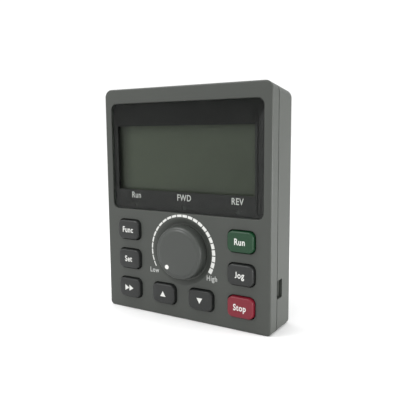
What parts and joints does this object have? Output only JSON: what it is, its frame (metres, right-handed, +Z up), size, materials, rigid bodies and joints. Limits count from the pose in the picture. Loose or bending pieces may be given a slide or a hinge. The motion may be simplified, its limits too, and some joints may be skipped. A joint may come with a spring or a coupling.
{
  "type": "variable frequency drive keypad",
  "caption": "Operator keypad of a variable frequency drive: display window, press keys and a speed knob in a slim two-part case that plugs onto the drive.",
  "frame": {"origin": "centre of the keypad's bounding box at its bottom edge", "axes": "+X to the operator's right, +Y from the front into the case, +Z up"},
  "size_m": [0.0724, 0.0208, 0.0879],
  "materials": {
    "case_grey": "fine moulded texture, satin",
    "clear_acrylic": "polished, clear",
    "mask_black": "screen-printed black",
    "bezel_black": "moulded",
    "display_glass": "polished glass with a grey-green polariser",
    "diffuser_white": "satin light guide",
    "connector_rubber": "layered conductive rubber",
    "pipe_clear": "polished light pipe",
    "led_white": "moulded lamp",
    "board_green": "solder mask",
    "gold_plate": "gold plated",
    "silicone_grey": "matte silicone",
    "carbon_black": "conductive carbon",
    "key_dark": "fine moulded texture",
    "key_green": "fine moulded texture",
    "key_red": "fine moulded texture",
    "knob_grey": "fine moulded texture, satin",
    "dot_white": "pressed-in white insert",
    "shaft_steel": "turned",
    "bushing_brass": "turned",
    "pot_plastic": "moulded",
    "tin_plate": "tinned",
    "chip_black": "moulded epoxy",
    "capacitor_aluminium": "drawn",
    "component_tan": "ceramic",
    "screw_steel": "zinc plated",
    "insert_brass": "turned"
  },
  "bodies": {
    "housing": {"front_shell": "case_grey", "rear_shell": "case_grey", "window_lens": "clear_acrylic", "window_mask": "mask_black", "lcd_bezel": "bezel_black", "lcd_front_glass": "display_glass", "lcd_rear_glass": "display_glass", "lcd_backlight": "diffuser_white", "lcd_connector_strip": "connector_rubber", "light_pipes": "pipe_clear", "indicator_leds": "led_white", "main_board": "board_green", "contact_pads": "gold_plate", "key_mat": "silicone_grey", "pot_body": "pot_plastic", "pot_bushing": "bushing_brass", "pot_track": "carbon_black", "pot_terminals": "tin_plate", "rear_socket": "bezel_black", "socket_contacts": "gold_plate", "microcontroller": "chip_black", "display_driver": "chip_black", "crystal": "tin_plate", "capacitor_can": "capacitor_aluminium", "chip_components": "component_tan", "case_screws": "screw_steel", "board_screws": "screw_steel", "panel_inserts": "insert_brass"},
    "func_key": {"key_func": "key_dark", "crown_func": "silicone_grey", "pill_func": "carbon_black"},
    "set_key": {"key_set": "key_dark", "crown_set": "silicone_grey", "pill_set": "carbon_black"},
    "shift_key": {"key_shift": "key_dark", "crown_shift": "silicone_grey", "pill_shift": "carbon_black"},
    "up_key": {"key_up": "key_dark", "crown_up": "silicone_grey", "pill_up": "carbon_black"},
    "down_key": {"key_down": "key_dark", "crown_down": "silicone_grey", "pill_down": "carbon_black"},
    "run_key": {"key_run": "key_green", "crown_run": "silicone_grey", "pill_run": "carbon_black"},
    "jog_key": {"key_jog": "key_dark", "crown_jog": "silicone_grey", "pill_jog": "carbon_black"},
    "stop_key": {"key_stop": "key_red", "crown_stop": "silicone_grey", "pill_stop": "carbon_black"},
    "speed_knob": {"knob": "knob_grey", "knob_dot": "dot_white", "pot_shaft": "shaft_steel", "pot_wiper": "gold_plate"}
  },
  "joints": [
    {"name": "func_press", "type": "slide", "parent": "housing", "child": "func_key", "axis": [0, 1, 0], "range_m": [0, 0.001], "stiffness_N_per_m": 1200},
    {"name": "set_press", "type": "slide", "parent": "housing", "child": "set_key", "axis": [0, 1, 0], "range_m": [0, 0.001], "stiffness_N_per_m": 1200},
    {"name": "shift_press", "type": "slide", "parent": "housing", "child": "shift_key", "axis": [0, 1, 0], "range_m": [0, 0.001], "stiffness_N_per_m": 1200},
    {"name": "up_press", "type": "slide", "parent": "housing", "child": "up_key", "axis": [0, 1, 0], "range_m": [0, 0.001], "stiffness_N_per_m": 1200},
    {"name": "down_press", "type": "slide", "parent": "housing", "child": "down_key", "axis": [0, 1, 0], "range_m": [0, 0.001], "stiffness_N_per_m": 1200},
    {"name": "run_press", "type": "slide", "parent": "housing", "child": "run_key", "axis": [0, 1, 0], "range_m": [0, 0.001], "stiffness_N_per_m": 1200},
    {"name": "jog_press", "type": "slide", "parent": "housing", "child": "jog_key", "axis": [0, 1, 0], "range_m": [0, 0.001], "stiffness_N_per_m": 1200},
    {"name": "stop_press", "type": "slide", "parent": "housing", "child": "stop_key", "axis": [0, 1, 0], "range_m": [0, 0.001], "stiffness_N_per_m": 1200},
    {"name": "speed_turn", "type": "hinge", "parent": "housing", "child": "speed_knob", "pos_m": [0, 0, 0.0262], "axis": [0, 1, 0], "range_deg": [0, 280]}
  ]
}
